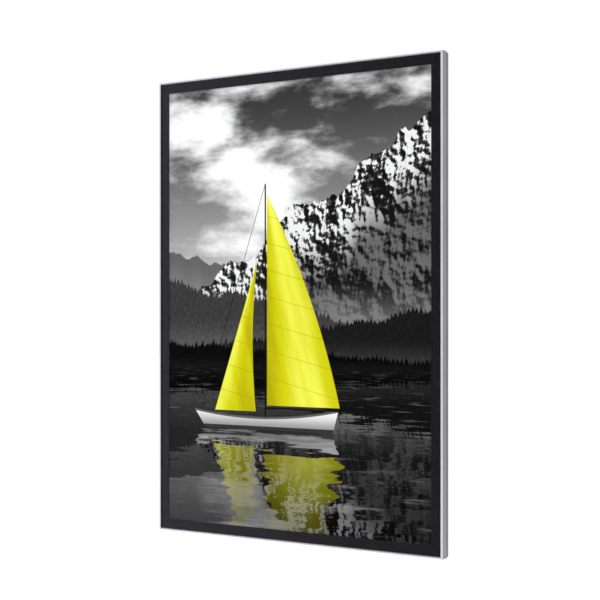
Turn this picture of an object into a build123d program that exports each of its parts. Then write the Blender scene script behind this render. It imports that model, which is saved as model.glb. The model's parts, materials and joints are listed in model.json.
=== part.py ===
from build123d import *
from math import radians, tan
import os

# Edge-lit poster frame for one A1 sheet, hung upright on a wall.
# The origin is the centre of the back plane: +X right, +Y into the wall, +Z up. The front faces -Y.
# Depths count forward from the back plane, and insets count inward from the rails' outer edge.

# Poster, a standard sheet
poster_width = 594.0
poster_height = 841.0
poster_thickness = 0.3
poster_clearance = 1.0

# Rail section
outer_wall = 1.5
rear_wall = 2.0
inner_wall = 1.2
chamber_width = 12.0
chamber_depth = 17.4
chamber_round = 1.0
lip_width = 3.5
lip_outer_round = 1.5
lip_inner_round = 0.3
face_lean = 0.6
bevel_lean = 2.2
bevel_depth = 14.5
rear_round = 2.0
corner_round = 1.5
shelf_width = 17.0
shelf_thickness = 1.4
ledge_width = 8.0
ledge_thickness = 1.6

# Light stack behind the shelf, from the back
stack_clearance = 0.1
reflector_thickness = 0.4
guide_thickness = 4.0
diffuser_thickness = 1.2
guide_notch_inset = 24.0

# Front cover and what is on it
cover_thickness = 2.0
cover_recess = 0.2
cover_gap = 1.0
cover_corner_round = 0.5
border_thickness = 0.07
border_clearance = 0.03
border_inset = 23.0
steel_thickness = 0.4
gasket_width = 4.5
gasket_setback = 1.0

# Magnet strips on the shelf, with the steel strips facing them
magnet_thickness = 0.8
magnet_width = 10.0
magnet_gap = 1.5
magnet_end_gap = 0.5

# Back panel
panel_thickness = 3.0
panel_gap = 0.3

# Countersunk screws and rivets
screw_head_radius = 2.75
screw_shank_radius = 1.45
screw_clearance = 0.05
screw_sink = 0.1
screw_socket_width = 2.0
screw_socket_depth = 1.0
corner_screw_length = 8.0
panel_screw_length = 5.5
panel_screw_setback = 5.0
panel_screw_end = 45.0
panel_screw_count_across = 4
panel_screw_count_up = 5
rivet_head_radius = 2.6
rivet_dome_height = 0.9

# Corner keys
key_clearance = 0.1
key_leg = 38.0
key_screw_places = (17.0, 30.0)
key_screw_inset = 7.5
key_end_chamfer = 0.8

# LED boards and chips
board_thickness = 1.0
board_width = 5.0
board_end_inset = 14.0
chip_length = 3.5
chip_width = 2.8
chip_height = 0.8
chip_gap = 0.3
chip_pitch = 16.0
chip_end_margin = 15.0

# Pads and buffers
pad_thickness = 1.0
pad_length = 40.0
pad_shares = (-0.6, 0.0, 0.6)
buffer_radius = 10.0
buffer_across_shares = (-0.6, 0.0, 0.6)
buffer_up_shares = (-0.72, -0.24, 0.24, 0.72)

# Hanger plates, with a round entry and a narrower slot
hanger_width = 44.0
hanger_height = 36.0
hanger_thickness = 1.5
hanger_corner_round = 4.0
hanger_entry_radius = 4.5
hanger_slot_width = 5.0
hanger_slot_run = 10.0
hanger_side_inset = 95.0
hanger_end_inset = 42.0
hanger_turned_inset = 118.5
hanger_rivet_setback = 5.0
window_width = 12.0
window_height = 22.0

# DC inlet in the bottom rail
inlet_radius = 3.9
inlet_clearance = 0.1
inlet_bezel_radius = 5.1
inlet_bezel_height = 0.8
inlet_end_gap = 0.4
inlet_base = 1.4
inlet_socket_radius = 2.75
inlet_pin_radius = 1.05
inlet_pin_chamfer = 0.4
inlet_pin_setback = 1.4
inlet_rivet_radius = 0.8
inlet_tail_radius = 2.4
inlet_tail_offset = 1.2
inlet_tail_length = 2.6
inlet_tail_clearance = 0.2
clamp_screw_radius = 1.45

# Leads, connectors and clips
lead_radius = 1.1
lead_spacing = 2.4
lead_inset = 20.5
lead_end_bend_share = 0.9
lead_bend_share = 0.45
lead_slope_start = 30.0
lead_slope_end = 14.5
connector_length = 6.0
connector_depth = 3.6
connector_height = 5.0
connector_round = 0.5
clip_wall = 0.7
clip_clearance = 0.1
clip_length = 6.0
clip_foot_width = 8.0
clip_mouth = 1.5
clip_shares = (0.17, 0.47, 0.77)

# Overrun for cuts
overrun = 1.0

# Depths of the layers, each on the one before
ledge_front = panel_thickness + ledge_thickness
reflector_rear = chamber_depth + stack_clearance
guide_rear = reflector_rear + reflector_thickness
guide_front = guide_rear + guide_thickness
shelf_rear = guide_front + diffuser_thickness
shelf_front = shelf_rear + shelf_thickness
poster_front = shelf_rear + poster_thickness
steel_rear = shelf_front + magnet_thickness
border_rear = steel_rear + steel_thickness
border_front = border_rear + border_thickness
cover_rear = border_front + border_clearance
cover_front = cover_rear + cover_thickness
frame_depth = cover_front + cover_recess

# Insets and overall size
rail_reach = chamber_width + ledge_width
rear_inset = face_lean + bevel_lean
chamber_low = outer_wall + rear_inset
chamber_high = chamber_width - inner_wall
chamber_middle = (chamber_low + chamber_high) / 2
chamber_front = chamber_depth - inner_wall
guide_side_inset = outer_wall + board_thickness + chip_height + chip_gap
guide_end_inset = outer_wall + pad_thickness
guide_middle = (guide_rear + guide_front) / 2
cover_inset = lip_width + cover_gap
magnet_inset = lip_width + magnet_gap
panel_inset = chamber_width + panel_gap
panel_screw_inset = chamber_width + panel_screw_setback
frame_width = poster_width + 2 * (poster_clearance + shelf_width)
frame_height = poster_height + 2 * (poster_clearance + shelf_width)

# Each side is built at the bottom and turned about the Y axis into its place
SIDE_TURNS = {"bottom": 0, "left": 90, "top": 180, "right": -90}
CORNER_TURNS = {"bottom_left": 0, "top_left": 90, "top_right": 180, "bottom_right": -90}


def span(side):
    """Length of the frame along one side."""
    return frame_width if side in ("bottom", "top") else frame_height


def edge(side):
    """Height of the outer edge of a side while it is built at the bottom."""
    return -(frame_height if side in ("bottom", "top") else frame_width) / 2


def turned(piece, side):
    return Rot(0, SIDE_TURNS[side], 0) * piece


def block(across, depth, up):
    """A box between low and high values of X, depth and Z."""
    box = Box(across[1] - across[0], depth[1] - depth[0], up[1] - up[0])
    middle = [(pair[0] + pair[1]) / 2 for pair in (across, depth, up)]
    return Pos(middle[0], -middle[1], middle[2]) * box


def plate(outline, depth):
    """An outline in the X and Z directions, made solid between two depths."""
    return Pos(0, -depth[0], 0) * extrude(Plane.XZ * outline, amount=depth[1] - depth[0])


def sheet_outline(inset_across, inset_up):
    return Rectangle(frame_width - 2 * inset_across, frame_height - 2 * inset_up)


def side_bar(side, half_length, inset, depth):
    """A straight bar along the inside of one side."""
    low = edge(side)
    return turned(block((-half_length, half_length), depth, (low + inset[0], low + inset[1])), side)


def spread(count, half_length):
    """Evenly spaced places from one end of a length to the other."""
    step = 2 * half_length / (count - 1)
    return [index * step - half_length for index in range(count)]


def group(pieces):
    """Separate solids that share one node."""
    return Compound([solid for piece in pieces for solid in piece.solids()])


def countersunk(head_radius, shank_radius, length):
    """A countersunk form that points forward from the back plane, with a ninety degree head."""
    top = (Align.CENTER, Align.CENTER, Align.MAX)
    shank = Cylinder(shank_radius, length, align=top)
    head = Cone(shank_radius, head_radius, head_radius - shank_radius, align=top)
    return Rot(-90, 0, 0) * (shank + head)


def hex_socket():
    """The key's recess in a screw's end, cut forward from the back plane."""
    hexagon = RegularPolygon(screw_socket_width / 2, 6, major_radius=False)
    return Rot(-90, 0, 0) * extrude(hexagon, amount=-screw_socket_depth)


def screw(length):
    whole = countersunk(screw_head_radius, screw_shank_radius, length) - hex_socket()
    return Pos(0, -screw_sink, 0) * whole


def screw_hole(length):
    spare = screw_sink + screw_clearance
    return countersunk(screw_head_radius + spare, screw_shank_radius + screw_clearance, length + overrun)


def round_bar(radius, depth):
    """A round bar or a cutter along the depth direction."""
    return plate(Circle(radius), depth)


# Rails

def section(low, points, rounds):
    """A face from insets and depths, with some of its corners rounded."""
    outline = make_face(Polyline(*[(-depth, low + inset) for inset, depth in points], close=True))
    for (inset, depth), radius in rounds.items():
        corner = outline.vertices().sort_by_distance((-depth, low + inset))[0]
        outline = fillet(corner, radius)
    return outline


def rail_section(low):
    """The extruded section. Its outer face leans in a little, and more in the bevel near the wall."""
    rear_corner, front_corner, lip_corner = (rear_inset, 0), (0, frame_depth), (lip_width, frame_depth)
    points = [
        rear_corner, (chamber_width, 0), (chamber_width, panel_thickness),
        (rail_reach, panel_thickness), (rail_reach, ledge_front), (chamber_width, ledge_front),
        (chamber_width, chamber_depth), (outer_wall, chamber_depth), (outer_wall, shelf_rear),
        (shelf_width, shelf_rear), (shelf_width, shelf_front), (lip_width, shelf_front),
        lip_corner, front_corner, (face_lean, bevel_depth),
    ]
    rounds = {rear_corner: rear_round, front_corner: lip_outer_round, lip_corner: lip_inner_round}
    return section(low, points, rounds) - chamber_section(low)


def chamber_section(low):
    """The hollow of the rear chamber, which follows the outer face."""
    bevel_start = (chamber_low - bevel_lean * rear_wall / bevel_depth, rear_wall)
    points = [
        bevel_start, (chamber_high, rear_wall), (chamber_high, chamber_front),
        (outer_wall + face_lean, chamber_front), (outer_wall + face_lean, bevel_depth),
    ]
    return section(low, points, {bevel_start: chamber_round})


def panel_screw_places(side):
    count = panel_screw_count_across if side in ("bottom", "top") else panel_screw_count_up
    return spread(count, span(side) / 2 - panel_screw_end)


def rail(side):
    low = edge(side)
    half = span(side) / 2
    bar = extrude(Plane.YZ * rail_section(low), amount=half, both=True)
    inner = half - rail_reach
    mitre = Polygon((-half, low), (half, low), (inner, low + rail_reach), (-inner, low + rail_reach))
    rounded = RectangleRounded(span(side), -2 * low, corner_round)
    bar = bar & plate(mitre & rounded, (0, frame_depth))
    for place in key_screw_places:
        for x in (place - half, half - place):
            bar -= Pos(x, 0, low + key_screw_inset) * screw_hole(corner_screw_length)
    for x in panel_screw_places(side):
        hole = round_bar(screw_shank_radius + screw_clearance, (0, ledge_front + overrun))
        bar -= Pos(x, 0, low + panel_screw_inset) * hole
    if side == "bottom":
        bar -= inlet_cuts()
    return turned(bar, side)


def key_leg_solid():
    """One leg of a corner key, with the frame's corner at the origin and the leg along +X."""
    reach = chamber_high - key_clearance
    slim = offset(chamber_section(0), amount=-key_clearance, kind=Kind.INTERSECTION)
    leg = extrude(Plane.YZ * slim, amount=key_leg)
    mitre = Polygon((0, 0), (key_leg, 0), (key_leg, reach), (reach, reach))
    leg = leg & plate(mitre, (0, frame_depth))
    end = leg.faces().sort_by(Axis.X)[-1]
    leg = chamfer(end.edges(), key_end_chamfer)
    for place in key_screw_places:
        leg -= Pos(place, 0, key_screw_inset) * screw_hole(corner_screw_length + overrun)
    return leg


def at_corner(corner, piece):
    """A piece made for the bottom left corner, with that corner at the origin, put in its own corner."""
    x = -frame_width / 2 if "left" in corner else frame_width / 2
    z = -frame_height / 2 if "bottom" in corner else frame_height / 2
    return Pos(x, 0, z) * (Rot(0, CORNER_TURNS[corner], 0) * piece)


def corner_key(corner):
    """Both legs: the second is the first, mirrored in the mitre."""
    leg = key_leg_solid()
    other = mirror(leg, about=Plane(origin=(0, 0, 0), z_dir=(1, 0, -1)))
    return at_corner(corner, leg + other)


def corner_screws():
    places = [
        place for along in key_screw_places
        for place in ((along, key_screw_inset), (key_screw_inset, along))
    ]
    return group([
        at_corner(corner, Pos(x, 0, z) * screw(corner_screw_length))
        for corner in CORNER_TURNS for x, z in places
    ])


# Back panel and hangers

def hanger_places():
    """Centre and slot direction of each hanger: two for upright hanging and two for sideways."""
    side = frame_width / 2 - hanger_side_inset
    top = frame_height / 2 - hanger_end_inset
    flank = frame_width / 2 - hanger_end_inset
    turned_side = frame_height / 2 - hanger_turned_inset
    return {
        "top_left": (-side, top, 0),
        "top_right": (side, top, 0),
        "side_upper": (-flank, turned_side, -90),
        "side_lower": (-flank, -turned_side, -90),
    }


def at_hanger(name, piece):
    x, z, turn = hanger_places()[name]
    return Pos(x, 0, z) * (Rot(0, turn, 0) * piece)


def rivet_offset():
    return hanger_width / 2 - hanger_rivet_setback


def keyhole():
    low = -hanger_slot_run / 2
    slot = Rectangle(hanger_slot_width, hanger_slot_run)
    end = Pos(0, -low) * Circle(hanger_slot_width / 2)
    return Pos(0, low) * Circle(hanger_entry_radius) + slot + end


def hanger(name):
    outline = RectangleRounded(hanger_width, hanger_height, hanger_corner_round) - keyhole()
    depth = (panel_thickness, panel_thickness + hanger_thickness)
    body = plate(outline, depth)
    for x in (-rivet_offset(), rivet_offset()):
        body -= Pos(x, 0, 0) * round_bar(screw_shank_radius + screw_clearance, (0, depth[1] + overrun))
    return at_hanger(name, body)


def rivet():
    depth = panel_thickness + hanger_thickness
    body = countersunk(rivet_head_radius, screw_shank_radius, depth)
    body = Pos(0, -screw_sink, 0) * body
    dome_radius = (rivet_head_radius ** 2 + rivet_dome_height ** 2) / (2 * rivet_dome_height)
    ball = Pos(0, -(depth + rivet_dome_height - dome_radius), 0) * Sphere(dome_radius)
    reach = rivet_head_radius + overrun
    keep = block((-reach, reach), (depth, depth + rivet_dome_height + overrun), (-reach, reach))
    return body + (ball & keep)


def hanger_rivets():
    return group([
        at_hanger(name, Pos(x, 0, 0) * rivet())
        for name in hanger_places() for x in (-rivet_offset(), rivet_offset())
    ])


def back_panel():
    panel = plate(sheet_outline(panel_inset, panel_inset), (0, panel_thickness))
    for side in SIDE_TURNS:
        for x in panel_screw_places(side):
            hole = Pos(x, 0, edge(side) + panel_screw_inset) * screw_hole(panel_screw_length)
            panel -= turned(hole, side)
    for name in hanger_places():
        window = plate(SlotOverall(window_height, window_width, rotation=90), (0, panel_thickness))
        panel -= at_hanger(name, window)
        for x in (-rivet_offset(), rivet_offset()):
            spare = screw_sink + screw_clearance
            shank = screw_shank_radius + screw_clearance
            hole = countersunk(rivet_head_radius + spare, shank, panel_thickness + overrun)
            panel -= at_hanger(name, Pos(x, 0, 0) * hole)
    return panel


def panel_screws():
    return group([
        turned(Pos(x, 0, edge(side) + panel_screw_inset) * screw(panel_screw_length), side)
        for side in SIDE_TURNS for x in panel_screw_places(side)
    ])


# Light stack

def notched(depth):
    """A sheet of the stack with its two lower corners cut away, where the leads come forward."""
    sheet = plate(sheet_outline(guide_side_inset, guide_end_inset), depth)
    for x in (-frame_width / 2, frame_width / 2):
        cut = Pos(x, -frame_height / 2) * Rectangle(2 * guide_notch_inset, 2 * guide_notch_inset)
        sheet -= plate(cut, (depth[0] - overrun, depth[1] + overrun))
    return sheet


def diffuser_sheet():
    return plate(sheet_outline(guide_side_inset, guide_end_inset), (guide_front, shelf_rear))


def edge_pads():
    half = frame_width / 2 - guide_notch_inset
    pads = []
    for side in ("bottom", "top"):
        for share in pad_shares:
            middle = share * half
            low = edge(side)
            pad = block(
                (middle - pad_length / 2, middle + pad_length / 2),
                (guide_rear, guide_front), (low + outer_wall, low + guide_end_inset),
            )
            pads.append(turned(pad, side))
    return group(pads)


def support_buffers():
    return group([
        Pos(share_x * frame_width / 2, 0, share_z * frame_height / 2)
        * round_bar(buffer_radius, (panel_thickness, reflector_rear))
        for share_x in buffer_across_shares for share_z in buffer_up_shares
    ])


def led_board(side):
    half = span(side) / 2 - board_end_inset
    depth = (guide_middle - board_width / 2, guide_middle + board_width / 2)
    return side_bar(side, half, (outer_wall, outer_wall + board_thickness), depth)


def led_chips(side):
    half = span(side) / 2 - board_end_inset - chip_end_margin
    count = int(2 * half / chip_pitch) + 1
    low = edge(side) + outer_wall + board_thickness
    depth = (guide_middle - chip_width / 2, guide_middle + chip_width / 2)
    return group([
        turned(block((x - chip_length / 2, x + chip_length / 2), depth, (low, low + chip_height)), side)
        for x in spread(count, chip_pitch * (count - 1) / 2)
    ])


# DC inlet, leads and connectors

inlet_low = -frame_height / 2
inlet_depth = (chamber_front + rear_wall) / 2
inlet_floor = inlet_low + chamber_high - inlet_end_gap
tail_depth = inlet_depth + inlet_tail_offset
tail_end = inlet_floor + inlet_tail_length
lead_height = inlet_low + lead_inset


def upright(radius, depth, up):
    """A round bar along Z at one depth, between two heights."""
    bar = Cylinder(radius, up[1] - up[0], align=(Align.CENTER, Align.CENTER, Align.MIN))
    return Pos(0, -depth, up[0]) * bar


def inlet_cuts():
    """Holes in the bottom rail for the inlet's body, its tail and its clamp screw."""
    mouth = (inlet_low - overrun, inlet_low + chamber_high - inner_wall)
    body = upright(inlet_radius + inlet_clearance, inlet_depth, mouth)
    tail_hole = (mouth[1], inlet_low + chamber_width + overrun)
    tail = upright(inlet_tail_radius + inlet_tail_clearance, tail_depth, tail_hole)
    clamp = round_bar(clamp_screw_radius + screw_clearance, (0, rear_wall + overrun))
    return body + tail + Pos(0, 0, inlet_low + chamber_middle) * clamp


def dc_inlet_body():
    """The bezel is shaped to the leaning face of the rail."""
    front = inlet_low - inlet_bezel_height
    bezel = upright(inlet_bezel_radius, inlet_depth, (front, inlet_low + chamber_low + outer_wall))
    bezel -= extrude(Plane.YZ * outer_form(), amount=inlet_bezel_radius + overrun, both=True)
    body = upright(inlet_radius, inlet_depth, (front, inlet_floor))
    body += bezel
    body += upright(inlet_tail_radius, tail_depth, (inlet_floor - inlet_base / 2, tail_end))
    socket = upright(inlet_socket_radius, inlet_depth, (front - overrun, inlet_floor - inlet_base))
    rivet_hole = upright(inlet_rivet_radius, inlet_depth, (front, inlet_floor))
    return body - socket - rivet_hole


def outer_form():
    """The rail's outside as a filled shape, for fitting the bezel to it."""
    rear_corner = (rear_inset, 0)
    points = [
        rear_corner, (rail_reach, 0), (rail_reach, frame_depth), (0, frame_depth), (face_lean, bevel_depth),
    ]
    return section(inlet_low, points, {rear_corner: rear_round})


def dc_inlet_pin():
    low = inlet_low - inlet_bezel_height + inlet_pin_setback
    pin = upright(inlet_pin_radius, inlet_depth, (low, inlet_floor - inlet_base))
    pin = chamfer(pin.faces().sort_by(Axis.Z)[0].edges(), inlet_pin_chamfer)
    return pin + upright(inlet_rivet_radius, inlet_depth, (inlet_floor - inlet_base, inlet_floor))


def dc_inlet_screw():
    body = round_bar(clamp_screw_radius, (0, inlet_depth - inlet_radius - screw_sink))
    return Pos(0, -screw_sink, inlet_low + chamber_middle) * (body - hex_socket())


def bend_radii(points):
    """The largest arcs that the runs allow: an end run gives most of its length to its one arc."""
    places = [Vector(*point) for point in points]
    runs = [after - before for before, after in zip(places, places[1:])]
    rooms = [run.length * lead_bend_share for run in runs]
    for end in (0, -1):
        rooms[end] = runs[end].length * lead_end_bend_share
    return [
        min(rooms[index], rooms[index + 1]) / tan(radians(runs[index].get_angle(runs[index + 1]) / 2))
        for index in range(len(runs) - 1)
    ]


def lead(hand):
    """From the inlet's tail along the bottom rail, then forward into the notch and to the connector."""
    start_x = hand * lead_spacing / 2
    side = frame_width / 2
    end_x = hand * (side - outer_wall - board_thickness - connector_height)
    points = [
        (start_x, -tail_depth, tail_end),
        (start_x, -tail_depth, lead_height),
        (hand * (side - lead_slope_start), -tail_depth, lead_height),
        (hand * (side - lead_slope_end), -guide_middle, lead_height),
        (end_x, -guide_middle, lead_height),
    ]
    radii = bend_radii(points)
    path = FilletPolyline(*points, radius=radii)
    end = Plane(origin=path @ 0, z_dir=path % 0) * Circle(lead_radius)
    tube = sweep(end, path=path)
    print("lead", hand, "radii", radii, "volume share", tube.volume / (end.area * path.length))
    return tube


def connector(side):
    hand = -1 if side == "left" else 1
    inner = frame_width / 2 - outer_wall - board_thickness
    across = sorted((hand * (inner - connector_height), hand * inner))
    depth = (guide_middle - connector_depth / 2, guide_middle + connector_depth / 2)
    up = (lead_height - connector_length / 2, lead_height + connector_length / 2)
    body = block(across, depth, up)
    return fillet(body.edges().filter_by(Axis.X), connector_round)


def lead_clips():
    """Open rings on a foot that is stuck to the ledge of the bottom rail."""
    inner = lead_radius + clip_clearance
    outer = inner + clip_wall
    foot_front = tail_depth - inner - clip_wall / 2
    ring = Circle(outer) - Circle(inner)
    mouth = Pos(-outer, 0) * Rectangle(2 * outer, clip_mouth)
    foot_middle = (tail_depth - (foot_front + ledge_front) / 2, outer - clip_foot_width / 2)
    foot = Pos(*foot_middle) * Rectangle(foot_front - ledge_front, clip_foot_width)
    section = (ring - mouth) + (foot - Circle(inner))
    clip = extrude(Plane.YZ * section, amount=clip_length / 2, both=True)
    half = frame_width / 2 - lead_slope_start
    return group([
        Pos(hand * share * half, -tail_depth, lead_height) * clip
        for hand in (-1, 1) for share in clip_shares
    ])


# Strips on the shelf and on the cover

def strip_half_length(side, inset, width, gap):
    """Upright strips run the full height, and the others end between them."""
    half = span(side) / 2 - inset
    return half if side in ("left", "right") else half - width - gap


def magnet_strip(side):
    half = strip_half_length(side, magnet_inset, magnet_width, magnet_end_gap)
    return side_bar(side, half, (magnet_inset, magnet_inset + magnet_width), (shelf_front, steel_rear))


def cover_steel(side):
    half = strip_half_length(side, magnet_inset, magnet_width, magnet_end_gap)
    return side_bar(side, half, (magnet_inset, magnet_inset + magnet_width), (steel_rear, border_rear))


def cover_gasket(side):
    high = border_inset - gasket_setback
    low = high - gasket_width
    half = strip_half_length(side, low, gasket_width, 0)
    return side_bar(side, half, (low, high), (poster_front, border_rear))


# Cover and poster

def cover_sheet():
    outline = sheet_outline(cover_inset, cover_inset)
    outline = fillet(outline.vertices(), cover_corner_round)
    return plate(outline, (cover_rear, cover_front))


def cover_border():
    """The printed border, a hair behind the clear sheet."""
    outline = sheet_outline(cover_inset, cover_inset)
    outline = fillet(outline.vertices(), cover_corner_round)
    return plate(outline - sheet_outline(border_inset, border_inset), (border_rear, border_front))


def poster():
    return plate(Rectangle(poster_width, poster_height), (shelf_rear, poster_front))


def pieces():
    """Every node of the frame, by name."""
    nodes = {}
    for side in SIDE_TURNS:
        nodes["rail_" + side] = rail(side)
        nodes["magnet_strip_" + side] = magnet_strip(side)
        nodes["cover_steel_" + side] = cover_steel(side)
        nodes["cover_gasket_" + side] = cover_gasket(side)
    for corner in CORNER_TURNS:
        nodes["corner_key_" + corner] = corner_key(corner)
    nodes["corner_screws"] = corner_screws()
    nodes["back_panel"] = back_panel()
    nodes["panel_screws"] = panel_screws()
    for name in hanger_places():
        nodes["hanger_" + name] = hanger(name)
    nodes["hanger_rivets"] = hanger_rivets()
    nodes["reflector_sheet"] = notched((reflector_rear, guide_rear))
    nodes["light_guide"] = notched((guide_rear, guide_front))
    nodes["diffuser_sheet"] = diffuser_sheet()
    nodes["guide_edge_pads"] = edge_pads()
    nodes["support_buffers"] = support_buffers()
    for side, hand in (("left", -1), ("right", 1)):
        nodes["led_board_" + side] = led_board(side)
        nodes["led_chips_" + side] = led_chips(side)
        nodes["led_connector_" + side] = connector(side)
        nodes["lead_" + side] = lead(hand)
    nodes["lead_clips"] = lead_clips()
    nodes["dc_inlet_body"] = dc_inlet_body()
    nodes["dc_inlet_pin"] = dc_inlet_pin()
    nodes["dc_inlet_screw"] = dc_inlet_screw()
    nodes["cover_sheet"] = cover_sheet()
    nodes["cover_border"] = cover_border()
    nodes["poster"] = poster()
    return nodes


os.makedirs("parts", exist_ok=True)
for node_name, node in pieces().items():
    export_step(node, "parts/" + node_name + ".step")
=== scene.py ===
import json
from math import cos, radians, sin
from typing import NamedTuple

import bpy
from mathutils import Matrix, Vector


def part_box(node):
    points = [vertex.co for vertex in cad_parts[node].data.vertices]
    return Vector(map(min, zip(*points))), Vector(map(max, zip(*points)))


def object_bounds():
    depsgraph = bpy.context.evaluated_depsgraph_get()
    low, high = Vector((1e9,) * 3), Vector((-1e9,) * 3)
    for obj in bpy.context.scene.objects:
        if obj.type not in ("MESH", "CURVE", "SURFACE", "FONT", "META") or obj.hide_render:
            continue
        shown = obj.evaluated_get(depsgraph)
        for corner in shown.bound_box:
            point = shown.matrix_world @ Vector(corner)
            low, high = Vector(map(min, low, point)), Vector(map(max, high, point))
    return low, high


# An edge-lit poster frame for one A1 sheet, in metres: +X right, +Y into the wall, +Z up. It faces -Y.
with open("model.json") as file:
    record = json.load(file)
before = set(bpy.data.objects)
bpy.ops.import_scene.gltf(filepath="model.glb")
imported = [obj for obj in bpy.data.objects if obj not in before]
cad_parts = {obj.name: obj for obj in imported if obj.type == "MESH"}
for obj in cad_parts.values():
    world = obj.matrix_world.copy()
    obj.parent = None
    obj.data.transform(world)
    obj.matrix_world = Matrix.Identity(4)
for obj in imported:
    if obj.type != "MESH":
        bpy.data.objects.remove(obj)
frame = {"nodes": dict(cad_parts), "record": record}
cad_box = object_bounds()


def grey(level):
    return (level, level, level, 1.0)


WHITE = grey(1.0)

# Camera, worked out from the frame's corners in the photograph. The sensor's width is in millimetres.
IMAGE_WIDTH = 600
FOCAL_LENGTH_PIXELS = 1430.6
VERTICAL_SHIFT_PIXELS = 18.0
SENSOR_WIDTH = 36.0
CAMERA_PLACE = (1.4941, -2.1971, -0.0228)
CAMERA_YAW = radians(34.208)

# Studio
AMBIENT_LIGHT = 0.62
KEY_LIGHT = 1.45
KEY_TOWARDS = (-0.25, 0.75, -0.62)
KEY_SPREAD = radians(35)
BACK_LIGHT = 0.9
BACK_TOWARDS = (0.35, -0.9, -0.35)
BACK_SPREAD = radians(40)
FLOOR_HEIGHT = -1.45
FLOOR_REACH = 40.0
FLOOR_PAINT = 0.8
FLOOR_GLOW = 0.32

# Upright grey cards that show only in reflections. Each has its two ends, seen from above, its heights,
# and the axis along which it fades from one level to another.
CARDS = {
    "front_card": {
        "ends": ((-3.3, -3.0), (-0.8, -3.0)), "up": (-1.35, 1.5),
        "axis": "X", "fade": (-2.75, -1.25), "levels": (0.62, 0.16),
    },
    "upper_card": {
        "ends": ((-0.8, -3.0), (1.0, -3.0)), "up": (0.3, 2.4),
        "axis": "X", "fade": (-0.8, 1.0), "levels": (0.26, 0.85),
    },
    "rear_card": {
        "ends": ((-4.0, 2.5), (5.5, 2.5)), "up": (-1.45, 2.2),
        "axis": "X", "fade": (0.2, 2.0), "levels": (0.055, 0.41),
    },
    "left_card": {
        "ends": ((-6.0, -4.0), (-6.0, 6.0)), "up": (-1.45, 3.5),
        "axis": "Y", "fade": (-1.0, 3.0), "levels": (0.75, 0.30),
    },
    "right_card": {
        "ends": ((6.0, -4.0), (6.0, 6.0)), "up": (-1.45, 3.5),
        "axis": "Y", "fade": (-1.0, 3.0), "levels": (1.0, 0.28),
    },
}

# The numbers of a Mix node's sockets for colours
MIX_SHARE, MIX_FIRST, MIX_SECOND, MIX_RESULT = 0, 6, 7, 2
NOISE_MIDDLE = 0.5
# How far a surface's direction goes along an axis: from nearly facing that way to facing it, and from a
# sheet's cut edge to its face
NEARLY_FACING, FACING = 0.8, 0.97
EDGE_ON, FACE_ON = 0.3, 0.7


class Shade:
    """One socket in a tree of nodes. Python's operators on it add Math nodes."""

    def __init__(self, tree, socket):
        self.tree = tree
        self.socket = socket

    def math(self, operation, *values):
        return self.tree.node("ShaderNodeMath", {"operation": operation}, dict(enumerate(values)))

    def __add__(self, other):
        return self.math("ADD", self, other)

    def __radd__(self, other):
        return self.math("ADD", other, self)

    def __sub__(self, other):
        return self.math("SUBTRACT", self, other)

    def __rsub__(self, other):
        return self.math("SUBTRACT", other, self)

    def __mul__(self, other):
        return self.math("MULTIPLY", self, other)

    def __rmul__(self, other):
        return self.math("MULTIPLY", other, self)

    def __truediv__(self, other):
        return self.math("DIVIDE", self, other)

    def __abs__(self):
        return self.math("ABSOLUTE", self)

    def floor(self):
        return self.math("FLOOR", self)

    def log2(self):
        return self.math("LOGARITHM", self, 2.0)

    def power(self, exponent):
        return self.math("POWER", self, exponent)

    def at_least(self, other):
        return self.math("MAXIMUM", self, other)

    def off_middle(self):
        """How far this value is from halfway between the whole numbers on either side of it."""
        return self - self.floor() - 0.5

    def rise(self, low, high, start=0.0, end=1.0):
        """Goes smoothly from start to end as this value goes from low to high."""
        sockets = {"Value": self, "From Min": low, "From Max": high, "To Min": start, "To Max": end}
        return self.tree.node("ShaderNodeMapRange", {"interpolation_type": "SMOOTHSTEP"}, sockets)

    def spread(self, reach):
        """Goes smoothly from 0 to 1 as this value goes from -reach to reach."""
        return self.rise(-reach, reach)


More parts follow.
